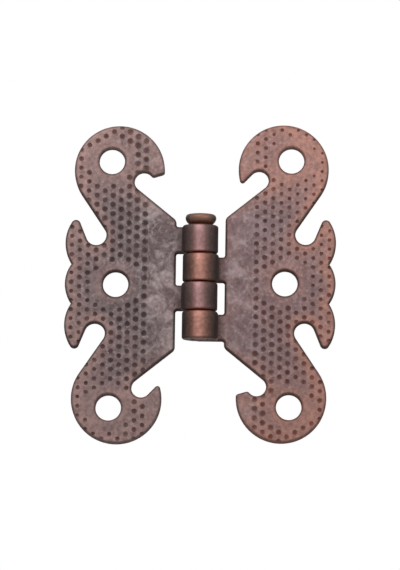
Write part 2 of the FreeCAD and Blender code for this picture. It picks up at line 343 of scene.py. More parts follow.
punch_bm = bmesh.new()
punch_rings = []
for radius, depth in PUNCH_PROFILE:
    ring = []
    for side in range(PUNCH_SIDES):
        turn = 2 * math.pi * side / PUNCH_SIDES
        ring.append(punch_bm.verts.new((radius * math.cos(turn), depth, radius * math.sin(turn))))
    punch_rings.append(ring)
nose = punch_bm.verts.new((0, 1, 0))
punch_bm.faces.new(punch_rings[0])
join_rings(punch_bm, punch_rings)
for side in range(PUNCH_SIDES):
    punch_bm.faces.new([punch_rings[-1][side - 1], punch_rings[-1][side], nose])
bmesh.ops.recalc_face_normals(punch_bm, faces=punch_bm.faces[:])
punch = made_object("punch", punch_bm)

centre_bm = bmesh.new()
for centre in hole_centres:
    centre_bm.verts.new((centre.x, front_y, centre.y))
screw_centres = made_object("screw_centres", centre_bm)


def add_node(tree, kind, inputs=None, out=0, **settings):
    """Adds a node and gives its output socket called out, or the node itself where out is None.

    Inputs are sockets, each set to a value or linked from another socket, and settings are properties.
    A Map Range has its value in socket 0, the range it comes from in 1 and 2 and the one it goes to in 3
    and 4. A Mix of colours has its share in socket 0, its two colours in 6 and 7, and its output in 2.
    """
    node = tree.nodes.new(kind)
    for name, value in settings.items():
        setattr(node, name, value)
    for key, value in (inputs or {}).items():
        if isinstance(value, bpy.types.NodeSocket):
            tree.links.new(value, node.inputs[key])
        else:
            node.inputs[key].default_value = value
    return node if out is None else node.outputs[out]


leaf_tree = bpy.data.node_groups.new("punched_leaf", "GeometryNodeTree")
leaf_tree.interface.new_socket("Geometry", in_out="INPUT", socket_type="NodeSocketGeometry")
leaf_tree.interface.new_socket("Geometry", in_out="OUTPUT", socket_type="NodeSocketGeometry")
leaf_inputs = {
    "Rolls": ("NodeSocketObject", rolls),
    "Outline": ("NodeSocketObject", outline),
    "Punch": ("NodeSocketObject", punch),
    "Screw Centres": ("NodeSocketObject", screw_centres),
    "Columns": ("NodeSocketInt", FIELD_COLUMNS),
    "Half Rows": ("NodeSocketInt", FIELD_HALF_ROWS),
    "Column Spacing": ("NodeSocketFloat", COLUMN_SPACING),
    "Pit Pitch": ("NodeSocketFloat", PIT_PITCH),
    "Field Start": ("NodeSocketFloat", FIELD_START),
    "Field Middle": ("NodeSocketFloat", leaf_middle + FIELD_RISE),
    "Face Depth": ("NodeSocketFloat", front_y),
    "Hole Radius": ("NodeSocketFloat", hole_radius),
    "Plain Ring": ("NodeSocketFloat", PLAIN_RING),
    "Edge Slack": ("NodeSocketFloat", EDGE_SLACK),
    "Outer Share": ("NodeSocketFloat", OUTER_SHARE),
    "Lower Share": ("NodeSocketFloat", LEFT_STRIKE["Lower Share"]),
    "Pit Radius": ("NodeSocketFloat", LEFT_STRIKE["Pit Radius"]),
    "Pit Depth": ("NodeSocketFloat", LEFT_STRIKE["Pit Depth"]),
    "Seed": ("NodeSocketInt", LEFT_STRIKE["Seed"]),
}
punching = blank.modifiers.new("punching", "NODES")
punching.node_group = leaf_tree
identifiers = {}
for name, (kind, value) in leaf_inputs.items():
    identifiers[name] = leaf_tree.interface.new_socket(name, in_out="INPUT", socket_type=kind).identifier
    punching[identifiers[name]] = value
given = add_node(leaf_tree, "NodeGroupInput", out=None).outputs

# Where each mark goes: its column, its row, and half a step of shift in every second column
INTEGER = "FunctionNodeIntegerMath"
rows = add_node(leaf_tree, INTEGER, {0: given["Half Rows"], 1: 2}, operation="MULTIPLY")
marks = add_node(leaf_tree, INTEGER, {0: rows, 1: given["Columns"]}, operation="MULTIPLY")
mark = add_node(leaf_tree, "GeometryNodeInputIndex")
column = add_node(leaf_tree, INTEGER, {0: mark, 1: rows}, operation="DIVIDE_FLOOR")
row = add_node(leaf_tree, INTEGER, {0: mark, 1: rows}, operation="MODULO")
row = add_node(leaf_tree, INTEGER, {0: row, 1: given["Half Rows"]}, operation="SUBTRACT")
odd = add_node(leaf_tree, INTEGER, {0: column, 1: 2}, operation="MODULO")
half_step = add_node(leaf_tree, "ShaderNodeMath", {0: odd, 1: -0.5, 2: 0.5}, operation="MULTIPLY_ADD")
row = add_node(leaf_tree, "ShaderNodeMath", {0: row, 1: half_step}, operation="ADD")
mark_z = add_node(leaf_tree, "ShaderNodeMath", {0: row, 1: given["Pit Pitch"], 2: given["Field Middle"]},
                  operation="MULTIPLY_ADD")
mark_out = add_node(leaf_tree, "ShaderNodeMath",
                    {0: column, 1: given["Column Spacing"], 2: given["Field Start"]},
                    operation="MULTIPLY_ADD")
mark_x = add_node(leaf_tree, "ShaderNodeMath", {0: mark_out, 1: -1.0}, operation="MULTIPLY")
spot = add_node(leaf_tree, "ShaderNodeCombineXYZ", {"X": mark_x, "Y": given["Face Depth"], "Z": mark_z})
field = add_node(leaf_tree, "GeometryNodePoints", {"Count": marks, "Position": spot})

# Which marks are made: those on the face and off the plain rings
to_face = add_node(leaf_tree, "GeometryNodeProximity", {0: given["Geometry"]}, "Distance",
                   target_element="FACES")
centres = add_node(leaf_tree, "GeometryNodeObjectInfo", {"Object": given["Screw Centres"]}, "Geometry")
to_hole = add_node(leaf_tree, "GeometryNodeProximity", {0: centres}, "Distance", target_element="POINTS")
on_face = add_node(leaf_tree, "FunctionNodeCompare", {0: to_face, 1: given["Edge Slack"]},
                   operation="LESS_THAN")
off_ring = add_node(leaf_tree, "FunctionNodeCompare", {0: to_hole, 1: given["Plain Ring"]},
                    operation="GREATER_THAN")
kept = add_node(leaf_tree, "FunctionNodeBooleanMath", {0: on_face, 1: off_ring}, operation="AND")

# How hard each blow is: smaller outwards and downwards, and no two quite alike
wide = add_node(leaf_tree, "FunctionNodeRandomValue",
                {2: WIDTH_SPREAD[0], 3: WIDTH_SPREAD[1], "Seed": given["Seed"]}, 1)
wide = add_node(leaf_tree, "ShaderNodeMath", {0: wide, 1: given["Pit Radius"]}, operation="MULTIPLY")
last = add_node(leaf_tree, "ShaderNodeMath", {0: given["Columns"], 1: 1.0}, operation="SUBTRACT")
outer = add_node(leaf_tree, "ShaderNodeMapRange", {0: column, 2: last, 3: 1.0, 4: given["Outer Share"]})
lower = add_node(leaf_tree, "ShaderNodeMapRange",
                 {0: mark_z, 1: LOWER_RANGE[0], 2: LOWER_RANGE[1], 3: given["Lower Share"], 4: 1.0})
for share in (outer, lower):
    wide = add_node(leaf_tree, "ShaderNodeMath", {0: wide, 1: share}, operation="MULTIPLY")
other_seed = add_node(leaf_tree, INTEGER, {0: given["Seed"], 1: 1}, operation="ADD")
deep = add_node(leaf_tree, "FunctionNodeRandomValue",
                {2: DEPTH_SPREAD[0], 3: DEPTH_SPREAD[1], "Seed": other_seed}, 1)
deep = add_node(leaf_tree, "ShaderNodeMath", {0: deep, 1: given["Pit Depth"]}, operation="MULTIPLY")
blow = add_node(leaf_tree, "ShaderNodeCombineXYZ", {"X": wide, "Y": deep, "Z": wide})
punch_shape = add_node(leaf_tree, "GeometryNodeObjectInfo", {"Object": given["Punch"]}, "Geometry")
blows = add_node(leaf_tree, "GeometryNodeInstanceOnPoints",
                 {"Points": field, "Selection": kept, "Instance": punch_shape, "Scale": blow})
blows = add_node(leaf_tree, "GeometryNodeRealizeInstances", {0: blows})

# Blank and rolls become one piece, the blows are struck, and each point gets its distances for the finish
rolled = add_node(leaf_tree, "GeometryNodeObjectInfo", {"Object": given["Rolls"]}, "Geometry")
whole = add_node(leaf_tree, "GeometryNodeMeshBoolean", out=None, operation="UNION", solver="EXACT")
leaf_tree.links.new(given["Geometry"], whole.inputs[1])
leaf_tree.links.new(rolled, whole.inputs[1])
marked = add_node(leaf_tree, "GeometryNodeMeshBoolean", {0: whole.outputs[0], 1: blows},
                  operation="DIFFERENCE", solver="EXACT")
rim_line = add_node(leaf_tree, "GeometryNodeObjectInfo", {"Object": given["Outline"]}, "Geometry")
here = add_node(leaf_tree, "GeometryNodeInputPosition")
here = add_node(leaf_tree, "ShaderNodeSeparateXYZ", {0: here}, out=None).outputs
here = add_node(leaf_tree, "ShaderNodeCombineXYZ",
                {"X": here["X"], "Y": given["Face Depth"], "Z": here["Z"]})
to_rim = add_node(leaf_tree, "GeometryNodeProximity", {0: rim_line, "Sample Position": here}, "Distance",
                  target_element="EDGES")
to_centre = add_node(leaf_tree, "GeometryNodeProximity", {0: centres, "Sample Position": here}, "Distance",
                     target_element="POINTS")
to_ring = add_node(leaf_tree, "ShaderNodeMath", {0: to_centre, 1: given["Hole Radius"]},
                   operation="SUBTRACT")
for name, distance in (("rim_distance", to_rim), ("hole_distance", to_ring)):
    marked = add_node(leaf_tree, "GeometryNodeStoreNamedAttribute",
                      {"Geometry": marked, "Name": name, "Value": distance}, domain="POINT")
smooth = add_node(leaf_tree, "GeometryNodeSetShadeSmooth", {"Geometry": marked})
realized = add_node(leaf_tree, "GeometryNodeRealizeInstances", {0: smooth})

# Antique copper plate
# The leaves are plated with copper, blackened, tumbled and rubbed back. The marks and walls stay dark, the
# flat ground is a mottled grey mauve, and the rims are rubbed to pink copper. The barrel has a painted
# highlight down its front and painted shade on its flanks, and painted shade lies beside the barrel and
# along the edges, most on those that face down.

PATTERNS = {                 # size, detail, roughness and distortion of each noise
    "mottle": (1.5, 6.0, 0.75, 0.0),
    "cloud": (3.2, 5.0, 0.65, 0.6),
    "speck": (0.7, 1.0, 0.5, 0.0),
    "worn": (7.0, 3.0, 0.5, 0.0),
    "grain": (0.6, 4.0, 0.5, 0.0),    # coarser than the real tumbled grain, so that it shows
}
MOTTLE_CONTRAST = (0.36, 0.64)    # noise values that give none and all of a pattern, here and below
PIT_SHADE = 0.3              # depth at which a mark is fully dark


def linear(hex_colour):
    """An sRGB hex colour as linear RGBA."""
    channels = []
    for start in (1, 3, 5):
        share = int(hex_colour[start:start + 2], 16) / 255
        channels.append(share / 12.92 if share <= 0.04045 else ((share + 0.055) / 1.055) ** 2.4)
    return channels + [1.0]


def per_mm(size):
    """Pattern scale that gives features of this many millimetres in Object coordinates, which are metres."""
    return 1 / (size * MM)


def set_stops(ramp, stops):
    """Gives a colour ramp these stops, each a place and a hex colour."""
    while len(ramp.elements) < len(stops):
        ramp.elements.new(0.5)
    for element, (share, tone) in zip(ramp.elements, stops):
        element.position = share
        element.color = linear(tone)


def leaf_fields(tree):
    """What the finish depends on at each point of a leaf, as sockets."""
    at = {"place": add_node(tree, "ShaderNodeTexCoord", out="Object")}
    axes = add_node(tree, "ShaderNodeSeparateXYZ", {0: at["place"]}, out=None).outputs
    at["x"], at["y"], at["z"] = axes["X"], axes["Y"], axes["Z"]
    at["outwards"] = add_node(tree, "ShaderNodeMath", {0: at["x"]}, operation="ABSOLUTE")
    at["upwards"] = add_node(tree, "ShaderNodeMath", {0: at["z"]}, operation="ABSOLUTE")
    at["rim"] = add_node(tree, "ShaderNodeAttribute", out="Fac", attribute_name="rim_distance")
    at["hole"] = add_node(tree, "ShaderNodeAttribute", out="Fac", attribute_name="hole_distance")
    at["sunk"] = add_node(tree, "ShaderNodeMapRange", {
        0: at["y"], 1: front_y * MM, 2: (front_y + PIT_SHADE) * MM})
    for name, (size, detail, roughness, distortion) in PATTERNS.items():
        at[name] = add_node(tree, "ShaderNodeTexNoise", {
            "Vector": at["place"], "Scale": per_mm(size), "Detail": detail, "Roughness": roughness,
            "Distortion": distortion}, "Fac")
    at["mottle"] = add_node(tree, "ShaderNodeMapRange", {
        0: at["mottle"], 1: MOTTLE_CONTRAST[0], 2: MOTTLE_CONTRAST[1]})
    return at


FIELD_CLOUD = 0.1            # share of the clouds and scratches that shows in the punched field
CLOUD_RANGE = (12.0, 8.0)    # towards the pin they grow to full between these distances from it
CLOUD_CONTRAST = (0.46, 0.66)
SCRATCHES = ((34.0, 0.7), (-61.0, 0.45))    # lean in degrees and strength of each direction
SCRATCH_SIZE = (1.9, 1.9, 0.34)    # coarser than real tumbling scratches, so that they show
SCRATCH_DETAIL = 3.0
SCRATCH_BEND = 0.5
SCRATCH_CONTRAST = (0.62, 0.75)
SPECK_CONTRAST = (0.56, 0.7)
SPECK_SHARE = 0.38
RIDGE_SHARE = 0.12           # of the rub on the ridges between the columns of marks
RIDGE_EDGE = 0.7             # which begin this far before the first column
RIDGE_RANGE = (1.2, 2.2)     # and between these distances from a screw hole's edge


def mottled_ground(tree, at, ground, clouding):
    """Dark and middle tone in mottles, under pale clouds, tumbling scratches, specks and rubbed ridges."""
    colour = add_node(tree, "ShaderNodeMix", {
        0: at["mottle"], 6: linear(ground[0]), 7: linear(ground[1])}, 2, data_type="RGBA")
    plain = add_node(tree, "ShaderNodeMapRange", {
        0: at["outwards"], 1: CLOUD_RANGE[0] * MM, 2: CLOUD_RANGE[1] * MM, 3: FIELD_CLOUD, 4: clouding})
    cloud = add_node(tree, "ShaderNodeMapRange", {
        0: at["cloud"], 1: CLOUD_CONTRAST[0], 2: CLOUD_CONTRAST[1], 4: plain})
    pale = [cloud]
    for lean, strength in SCRATCHES:
        along = add_node(tree, "ShaderNodeMapping", {
            "Vector": at["place"], "Rotation": (0, math.radians(lean), 0),
            "Scale": [size * MM for size in SCRATCH_SIZE]}, vector_type="TEXTURE")
        scratch = add_node(tree, "ShaderNodeTexNoise", {
            "Vector": along, "Scale": 1.0, "Detail": SCRATCH_DETAIL, "Distortion": SCRATCH_BEND}, "Fac")
        scratch = add_node(tree, "ShaderNodeMapRange", {
            0: scratch, 1: SCRATCH_CONTRAST[0], 2: SCRATCH_CONTRAST[1], 4: strength})
        pale.append(add_node(tree, "ShaderNodeMath", {0: scratch, 1: plain}, operation="MULTIPLY"))
    speck = add_node(tree, "ShaderNodeMapRange", {
        0: at["speck"], 1: SPECK_CONTRAST[0], 2: SPECK_CONTRAST[1], 4: SPECK_SHARE})
    pale.append(speck)

    # The metal between two columns of marks is pushed up a little and rubbed
    across = add_node(tree, "ShaderNodeMath", {0: at["outwards"], 1: FIELD_START * MM}, operation="SUBTRACT")
    ridge = add_node(tree, "ShaderNodeMath", {0: across, 1: COLUMN_SPACING * MM / 2}, operation="PINGPONG")
    ridge = add_node(tree, "ShaderNodeMapRange", {
        0: ridge, 1: COLUMN_SPACING * MM / 4, 2: COLUMN_SPACING * MM / 2, 4: RIDGE_SHARE})
    in_field = add_node(tree, "ShaderNodeMath", {0: across, 1: -RIDGE_EDGE * MM}, operation="GREATER_THAN")
    off_ring = add_node(tree, "ShaderNodeMapRange", {0: at["hole"], 1: RIDGE_RANGE[0], 2: RIDGE_RANGE[1]})
    for share in (in_field, off_ring):
        ridge = add_node(tree, "ShaderNodeMath", {0: ridge, 1: share}, operation="MULTIPLY")
    pale.append(ridge)
    for share in pale:
        colour = add_node(tree, "ShaderNodeMix", {
            0: share, 6: colour, 7: linear(ground[2])}, 2, data_type="RGBA")
    return colour


RIM_RANGE = (2.6, 0.4)       # the rubbed rim fades in towards the edge
REACH_RANGE = (9.0, 20.0)    # and is rubbed more between these distances from the pin
REACH_RUB = (0.12, 0.6)
LOBE_RANGE = (12.0, 20.0)    # heights between which the lobes are rubbed more
LOBE_RUB = 0.35
RING_RANGE = (1.9, 0.5)      # the rubbed ring round each screw hole fades in towards its edge
RING_RUB = 0.2
OUTER_RANGE = (13.0, 24.0)   # distances from the pin between which the whole face is rubbed more
PATCH_RUB = (0.17, 0.8)      # the wear comes in patches
RUB_CONTRAST = (0.47, 1.15)
MOTTLE_RUB = (0.5, 1.05)     # and shows less on the dark mottles


def rubbed_share(tree, at, outer_rub):
    """How far the plate is rubbed to bare copper: most on rims, lobes and the outer edge, in patches."""
    near_rim = add_node(tree, "ShaderNodeMapRange", {0: at["rim"], 1: RIM_RANGE[0], 2: RIM_RANGE[1]})
    far_out = add_node(tree, "ShaderNodeMapRange", {
        0: at["outwards"], 1: REACH_RANGE[0] * MM, 2: REACH_RANGE[1] * MM, 3: REACH_RUB[0], 4: REACH_RUB[1]})
    on_lobe = add_node(tree, "ShaderNodeMapRange", {
        0: at["upwards"], 1: LOBE_RANGE[0] * MM, 2: LOBE_RANGE[1] * MM, 4: LOBE_RUB})
    ring = add_node(tree, "ShaderNodeMapRange", {
        0: at["hole"], 1: RING_RANGE[0], 2: RING_RANGE[1], 4: RING_RUB})
    outer = add_node(tree, "ShaderNodeMapRange", {
        0: at["outwards"], 1: OUTER_RANGE[0] * MM, 2: OUTER_RANGE[1] * MM, 4: outer_rub})
    patch = add_node(tree, "ShaderNodeMapRange", {0: at["worn"], 3: PATCH_RUB[0], 4: PATCH_RUB[1]})
    rub = add_node(tree, "ShaderNodeMath", {0: near_rim, 1: far_out, 2: on_lobe}, operation="MULTIPLY_ADD")
    for more in (ring, outer, patch):
        rub = add_node(tree, "ShaderNodeMath", {0: rub, 1: more}, operation="ADD")
    rub = add_node(tree, "ShaderNodeMapRange", {0: rub, 1: RUB_CONTRAST[0], 2: RUB_CONTRAST[1]})
    patchy = add_node(tree, "ShaderNodeMapRange", {0: at["mottle"], 3: MOTTLE_RUB[0], 4: MOTTLE_RUB[1]})
    return add_node(tree, "ShaderNodeMath", {0: rub, 1: patchy}, operation="MULTIPLY", use_clamp=True)


TAB_SHADE = 1.6              # painted shade lies in a strip this wide beside the barrel
TAB_SHADE_STRENGTH = 0.75
WALL_WIDTH = (0.1, 0.2)      # what lies nearer to an edge than this is wall, not face
EDGE_LINE = 0.12             # oxide and painted shade left along every edge of the show face
UNDER_SHADE_LINE = 0.2             # and painted shade this much wider along edges that face down
UNDER_RANGE = (-0.02, -0.3)  # upward part of the normal between which an edge comes to face down
EDGE_RANGE = (0.5, -0.12)    # the oxide and painted shade fade in between these distances from that line
EDGE_WEAR = (14.0, 26.0)     # and between these heights it is worn down to its share on the lobes
LOBE_EDGE_SHARE = 0.5
WALL_RANGE = (0.45, 0.8)     # walls stay dark from these depths
WALL_OXIDE = 0.85


def with_oxide_and_shade(tree, at, colour, rub, oxide_and_shade):
    """The colour with painted shade beside the barrel, blackening left in the marks and on the walls, and
    blackening with painted shade along the edges, widest where they face down.
    """
    # Painted shade on the tabs in a strip beside the barrel
    beside = add_node(tree, "ShaderNodeMapRange", {
        0: at["outwards"], 1: (barrel_radius + TAB_SHADE) * MM, 2: barrel_radius * MM, 4: TAB_SHADE_STRENGTH})
    colour = add_node(tree, "ShaderNodeMix", {
        0: beside, 6: colour, 7: linear(oxide_and_shade[2])}, 2, data_type="RGBA")
    from_edge = add_node(tree, "ShaderNodeMath", {0: at["rim"], 1: at["hole"]}, operation="MINIMUM")
    inside = add_node(tree, "ShaderNodeMapRange", {0: from_edge, 1: WALL_WIDTH[0], 2: WALL_WIDTH[1]})
    in_pit = add_node(tree, "ShaderNodeMath", {0: at["sunk"], 1: inside}, operation="MULTIPLY")
    dark = add_node(tree, "ShaderNodeMix", {
        0: rub, 6: linear(oxide_and_shade[0]), 7: linear(oxide_and_shade[1])}, 2, data_type="RGBA")
    colour = add_node(tree, "ShaderNodeMix", {0: in_pit, 6: colour, 7: dark}, 2, data_type="RGBA")

    # Painted shade widens the dark line along edges whose normal faces down, over the oxide along every edge
    facing = add_node(tree, "ShaderNodeTexCoord", out="Normal")
    facing = add_node(tree, "ShaderNodeSeparateXYZ", {0: facing}, "Z")
    line = add_node(tree, "ShaderNodeMapRange", {
        0: facing, 1: UNDER_RANGE[0], 2: UNDER_RANGE[1], 3: EDGE_LINE, 4: EDGE_LINE + UNDER_SHADE_LINE})
    edge = add_node(tree, "ShaderNodeMath", {0: from_edge, 1: line}, operation="SUBTRACT")
    left_on = add_node(tree, "ShaderNodeMapRange", {
        0: at["upwards"], 1: EDGE_WEAR[0] * MM, 2: EDGE_WEAR[1] * MM, 3: 1.0, 4: LOBE_EDGE_SHARE})
    on_wall = add_node(tree, "ShaderNodeMapRange", {
        0: at["y"], 1: (front_y + WALL_RANGE[0]) * MM, 2: (front_y + WALL_RANGE[1]) * MM, 4: WALL_OXIDE})
    left_on = add_node(tree, "ShaderNodeMath", {0: left_on, 1: on_wall}, operation="MAXIMUM")
    edge = add_node(tree, "ShaderNodeMapRange", {
        0: edge, 1: EDGE_RANGE[0], 2: EDGE_RANGE[1], 4: left_on}, interpolation_type="SMOOTHSTEP")
    return add_node(tree, "ShaderNodeMix", {0: edge, 6: colour, 7: linear(oxide_and_shade[2])}, 2, data_type="RGBA")


HIGHLIGHT_TURN = -2.5              # degrees that the painted highlight down the barrel's front lies off the line of sight
END_RANGE = (0.4, 1.6)       # knuckles are brighter between these distances from a joint
END_LEVELS = (1.15, 0.92)
JOINT_RANGE = (0.3, 0.16)    # and red copper shows in front between these
JOINT_COPPER = "#93503f"
JOINT_REACH = 1.5            # in pitches from the middle; past that is no joint but the barrel's end
FRONT_RANGE = (0.55, 0.9)    # shares of the barrel's radius between which its front begins
BEHIND_START = 0.2           # depth behind the pin axis from which the barrel stays stained
joint_pitch = (knuckle_spans[1][1] - knuckle_spans[0][1]) / 2


def barrel_colour(tree, at, barrel_light_tones, stain):
    """Painted shade on the barrel's flanks and a painted highlight down its front, brighter near the joints,
    stained behind.
    """
    turn = math.radians(HIGHLIGHT_TURN)
    front = Vector((math.sin(turn), -math.cos(turn), 0)) / (barrel_radius * MM)
    forward = add_node(tree, "ShaderNodeVectorMath", {
        0: at["place"], 1: front}, "Value", operation="DOT_PRODUCT")
    # A ramp from painted shade on the flanks to a painted highlight on the front, by how far each point
    # faces forward
    tones = add_node(tree, "ShaderNodeValToRGB", {0: forward}, out=None)
    set_stops(tones.color_ramp, barrel_light_tones)
    to_joint = add_node(tree, "ShaderNodeMath", {0: at["z"], 1: joint_pitch * MM / 2}, operation="PINGPONG")
    level = add_node(tree, "ShaderNodeMapRange", {
        0: to_joint, 1: END_RANGE[0] * MM, 2: END_RANGE[1] * MM, 3: END_LEVELS[0], 4: END_LEVELS[1]})
    colour = add_node(tree, "ShaderNodeVectorMath", {0: tones.outputs[0], "Scale": level}, operation="SCALE")
    joint = add_node(tree, "ShaderNodeMapRange", {
        0: to_joint, 1: JOINT_RANGE[0] * MM, 2: JOINT_RANGE[1] * MM})
    between = add_node(tree, "ShaderNodeMath", {
        0: at["upwards"], 1: JOINT_REACH * joint_pitch * MM}, operation="LESS_THAN")
    in_front = add_node(tree, "ShaderNodeMapRange", {0: forward, 1: FRONT_RANGE[0], 2: FRONT_RANGE[1]})
    for share in (between, in_front):
        joint = add_node(tree, "ShaderNodeMath", {0: joint, 1: share}, operation="MULTIPLY")
    colour = add_node(tree, "ShaderNodeMix", {
        0: joint, 6: colour, 7: linear(JOINT_COPPER)}, 2, data_type="RGBA")
    behind = add_node(tree, "ShaderNodeMapRange", {0: at["y"], 1: BEHIND_START * MM, 2: front_y * MM})
    return add_node(tree, "ShaderNodeMix", {0: behind, 6: colour, 7: stain}, 2, data_type="RGBA")


BACK_SLACK = 0.02
BARREL_RANGE = (0.6, 0.4)    # the barrel's tones begin between these distances outside it
GRAIN_RANGE = (0.3, 0.7)
GRAIN_LEVELS = (0.78, 1.22)  # the grain makes the plate darker and lighter by these shares
GRAIN_DEPTH = 0.04
GRAIN_STRENGTH = 0.3
FADE_REACH = 24.0            # the whole plate darkens downwards from this height to its opposite
TOP_LEVEL = 1.06
FACE_ROUGHNESS = (0.42, 0.54)
PIT_ROUGHNESS = 0.9
METAL_SHARE = 0.7            # the oxide keeps the plate from being wholly metal to the eye


def antique_copper(name, ground, clouding, rubbed, outer_rub, oxide_and_shade, fade, barrel_light_tones):
    """Copper plate, blackened and rubbed back, with its level at the bottom as a share in fade.

    ground is its dark, middle and pale tone, oxide_and_shade is the tone of dark marks, of rubbed ones and
    of walls, also used as painted shade beside the barrel and along the edges, and barrel_light_tones run
    from painted shade on the barrel's flank to a painted highlight on its front.
    """
    material = bpy.data.materials.new(name)
    material.use_nodes = True
    tree = material.node_tree
    shader = tree.nodes["Principled BSDF"]
    at = leaf_fields(tree)
    colour = mottled_ground(tree, at, ground, clouding)
    rub = rubbed_share(tree, at, outer_rub)
    colour = add_node(tree, "ShaderNodeMix", {0: rub, 6: colour, 7: linear(rubbed)}, 2, data_type="RGBA")
    colour = with_oxide_and_shade(tree, at, colour, rub, oxide_and_shade)

    # The back was never rubbed, and the barrel carries its painted highlight and shade only where it stands
    # forward
    stain = add_node(tree, "ShaderNodeMath", {0: at["worn"], 1: at["mottle"]}, operation="MULTIPLY")
    stain = add_node(tree, "ShaderNodeMix", {
        0: stain, 6: linear(oxide_and_shade[2]), 7: linear(ground[2])}, 2, data_type="RGBA")
    back = add_node(tree, "ShaderNodeMath", {
        0: at["y"], 1: (back_y - BACK_SLACK) * MM}, operation="GREATER_THAN")
    colour = add_node(tree, "ShaderNodeMix", {0: back, 6: colour, 7: stain}, 2, data_type="RGBA")
    barrel = barrel_colour(tree, at, barrel_light_tones, stain)
    flat = add_node(tree, "ShaderNodeCombineXYZ", {"X": at["x"], "Y": at["y"]})
    from_pin = add_node(tree, "ShaderNodeVectorMath", {0: flat}, "Value", operation="LENGTH")
    on_barrel = add_node(tree, "ShaderNodeMapRange", {
        0: from_pin, 1: (barrel_radius + BARREL_RANGE[0]) * MM, 2: (barrel_radius + BARREL_RANGE[1]) * MM})
    colour = add_node(tree, "ShaderNodeMix", {0: on_barrel, 6: colour, 7: barrel}, 2, data_type="RGBA")

    speckled = add_node(tree, "ShaderNodeMapRange", {
        0: at["grain"], 1: GRAIN_RANGE[0], 2: GRAIN_RANGE[1], 3: GRAIN_LEVELS[0], 4: GRAIN_LEVELS[1]})
    faded = add_node(tree, "ShaderNodeMapRange", {
        0: at["z"], 1: -FADE_REACH * MM, 2: FADE_REACH * MM, 3: fade, 4: TOP_LEVEL})
    for level in (speckled, faded):
        colour = add_node(tree, "ShaderNodeVectorMath", {0: colour, "Scale": level}, operation="SCALE")
    rough = add_node(tree, "ShaderNodeMapRange", {
        0: at["mottle"], 3: FACE_ROUGHNESS[0], 4: FACE_ROUGHNESS[1]})
    rough = add_node(tree, "ShaderNodeMix", {0: at["sunk"], 2: rough, 3: PIT_ROUGHNESS})
    bump = add_node(tree, "ShaderNodeBump", {
        "Strength": GRAIN_STRENGTH, "Distance": GRAIN_DEPTH * MM, "Height": at["grain"]})
    tree.links.new(colour, shader.inputs["Base Color"])
    tree.links.new(rough, shader.inputs["Roughness"])
    tree.links.new(bump, shader.inputs["Normal"])
    shader.inputs["Metallic"].default_value = METAL_SHARE
    return material


# Each finish's barrel_light_tones run from painted shade on the barrel's flank to a painted highlight down
# its front
left_finish = antique_copper(
    "antique_copper_plate_left",
    ground=("#524344", "#7f6e6f", "#ab9d9d"), clouding=0.95, rubbed="#a0817c", outer_rub=0.1,
    oxide_and_shade=("#5c4848", "#825f57", "#4f403d"), fade=0.86,
    barrel_light_tones=((0.0, "#3c3231"), (0.5, "#413534"), (0.72, "#4b3c39"), (0.85, "#564340"),
                  (0.936, "#694e4b"), (0.985, "#906d6c"), (1.0, "#a9807f")))
right_finish = antique_copper(
    "antique_copper_plate_right",
    ground=("#6e5757", "#8a7273", "#ad9b9c"), clouding=0.6, rubbed="#ae7f72", outer_rub=0.18,
    oxide_and_shade=("#6c4742", "#945647", "#563f39"), fade=0.82,
    barrel_light_tones=((0.0, "#3d322d"), (0.5, "#403430"), (0.72, "#503d36"), (0.85, "#62453d"),
                  (0.936, "#7b5549"), (0.985, "#a5756a"), (1.0, "#bb8677")))

# Both leaves
# The right leaf is the same plated stamping turned half round about the line of sight, so that its tabs fall
# between those of the left one. Each leaf turns with its own body, and the pin stays with the left one.

SHARP_ANGLE = 32.0           # degrees; edges turning more than this stay crisp

finished = add_node(leaf_tree, "GeometryNodeSetMaterial", {"Geometry": realized, "Material": left_finish})
add_node(leaf_tree, "NodeGroupOutput", {"Geometry": finished}, out=None)


def struck_leaf(strike):
    """One leaf as a plain mesh in metres, with its own strike of the punches."""
    for name, value in strike.items():
        punching[identifiers[name]] = value
    blank.update_tag()
    evaluated = blank.evaluated_get(bpy.context.evaluated_depsgraph_get())
    mesh = bpy.data.meshes.new_from_object(evaluated)
    mesh.transform(Matrix.Scale(MM, 4))
    mesh.set_sharp_from_angle(angle=math.radians(SHARP_ANGLE))
    return mesh


left_mesh = struck_leaf(LEFT_STRIKE)
right_mesh = struck_leaf(RIGHT_STRIKE)
right_mesh.transform(Matrix.Rotation(math.pi, 4, "Y"))
for helper in (blank, rolls, outline, punch, screw_centres):
    bpy.data.objects.remove(helper)
for name, mesh, finish, node, body in (
    ("left_leaf_plate", left_mesh, left_finish, "left_leaf", "left_half"),
    ("right_leaf_plate", right_mesh, right_finish, "right_leaf", "right_half"),
):
    mesh.materials.clear()
    mesh.materials.append(finish)
    piece = bpy.data.objects.new(name, mesh)
    bpy.context.scene.collection.objects.link(piece)
    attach(piece, body)
    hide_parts(node)

# Hinge pin
# A plain round steel pin with a button head, copper plated with the leaves, and driven in from the top.
# The head's crown is brown copper with a painted highlight on its front and painted shade on its flanks, and
# red copper shows underneath.

PIN_SIDES = 48
PIN_CLEARANCE = 0.05
PIN_END = ((0.3, 0.0), (0.08, 0.08), (0.0, 0.3))    # in from the pin's side and up from its end
HEAD_HEIGHT = 2.04
HEAD_SPREAD = 0.13           # the struck head is this much higher, and wider in radius, than its solid
HEAD_PROFILE = ((0.64, 0.0), (0.74, 0.1), (0.87, 0.26), (0.96, 0.43), (1.0, 0.61), (0.995, 0.76),
                (0.95, 0.9), (0.88, 0.97), (0.6, 1.0))    # shares of the head's radius and height
